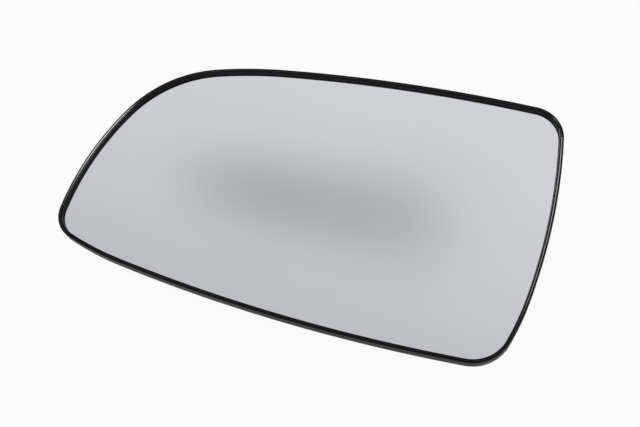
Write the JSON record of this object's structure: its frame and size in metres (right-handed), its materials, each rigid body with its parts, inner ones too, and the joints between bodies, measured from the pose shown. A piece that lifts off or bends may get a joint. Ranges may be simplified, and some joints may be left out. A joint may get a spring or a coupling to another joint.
{
  "type": "car door mirror glass",
  "caption": "Left-hand convex door mirror glass bonded in a black moulded plate, whose back has a snap socket for a mirror actuator.",
  "frame": {"origin": "centre of the plate's outline, on the snap socket's axis, level with the tips of its fingers", "axes": "+Z out through the reflecting face, +X along the length toward the inboard end, +Y toward the top edge"},
  "size_m": [0.1846, 0.1084, 0.0149],
  "materials": {
    "silvered_glass": "silvered convex float glass with a bright, neutral reflection",
    "foam_tape": "dark closed-cell foam tape, matte",
    "black_plastic": "black moulded plastic, satin with a fine grain"
  },
  "bodies": {
    "root": {"mirror_glass": "silvered_glass", "adhesive_pad": "foam_tape", "backing_plate": "black_plastic"}
  },
  "joints": []
}
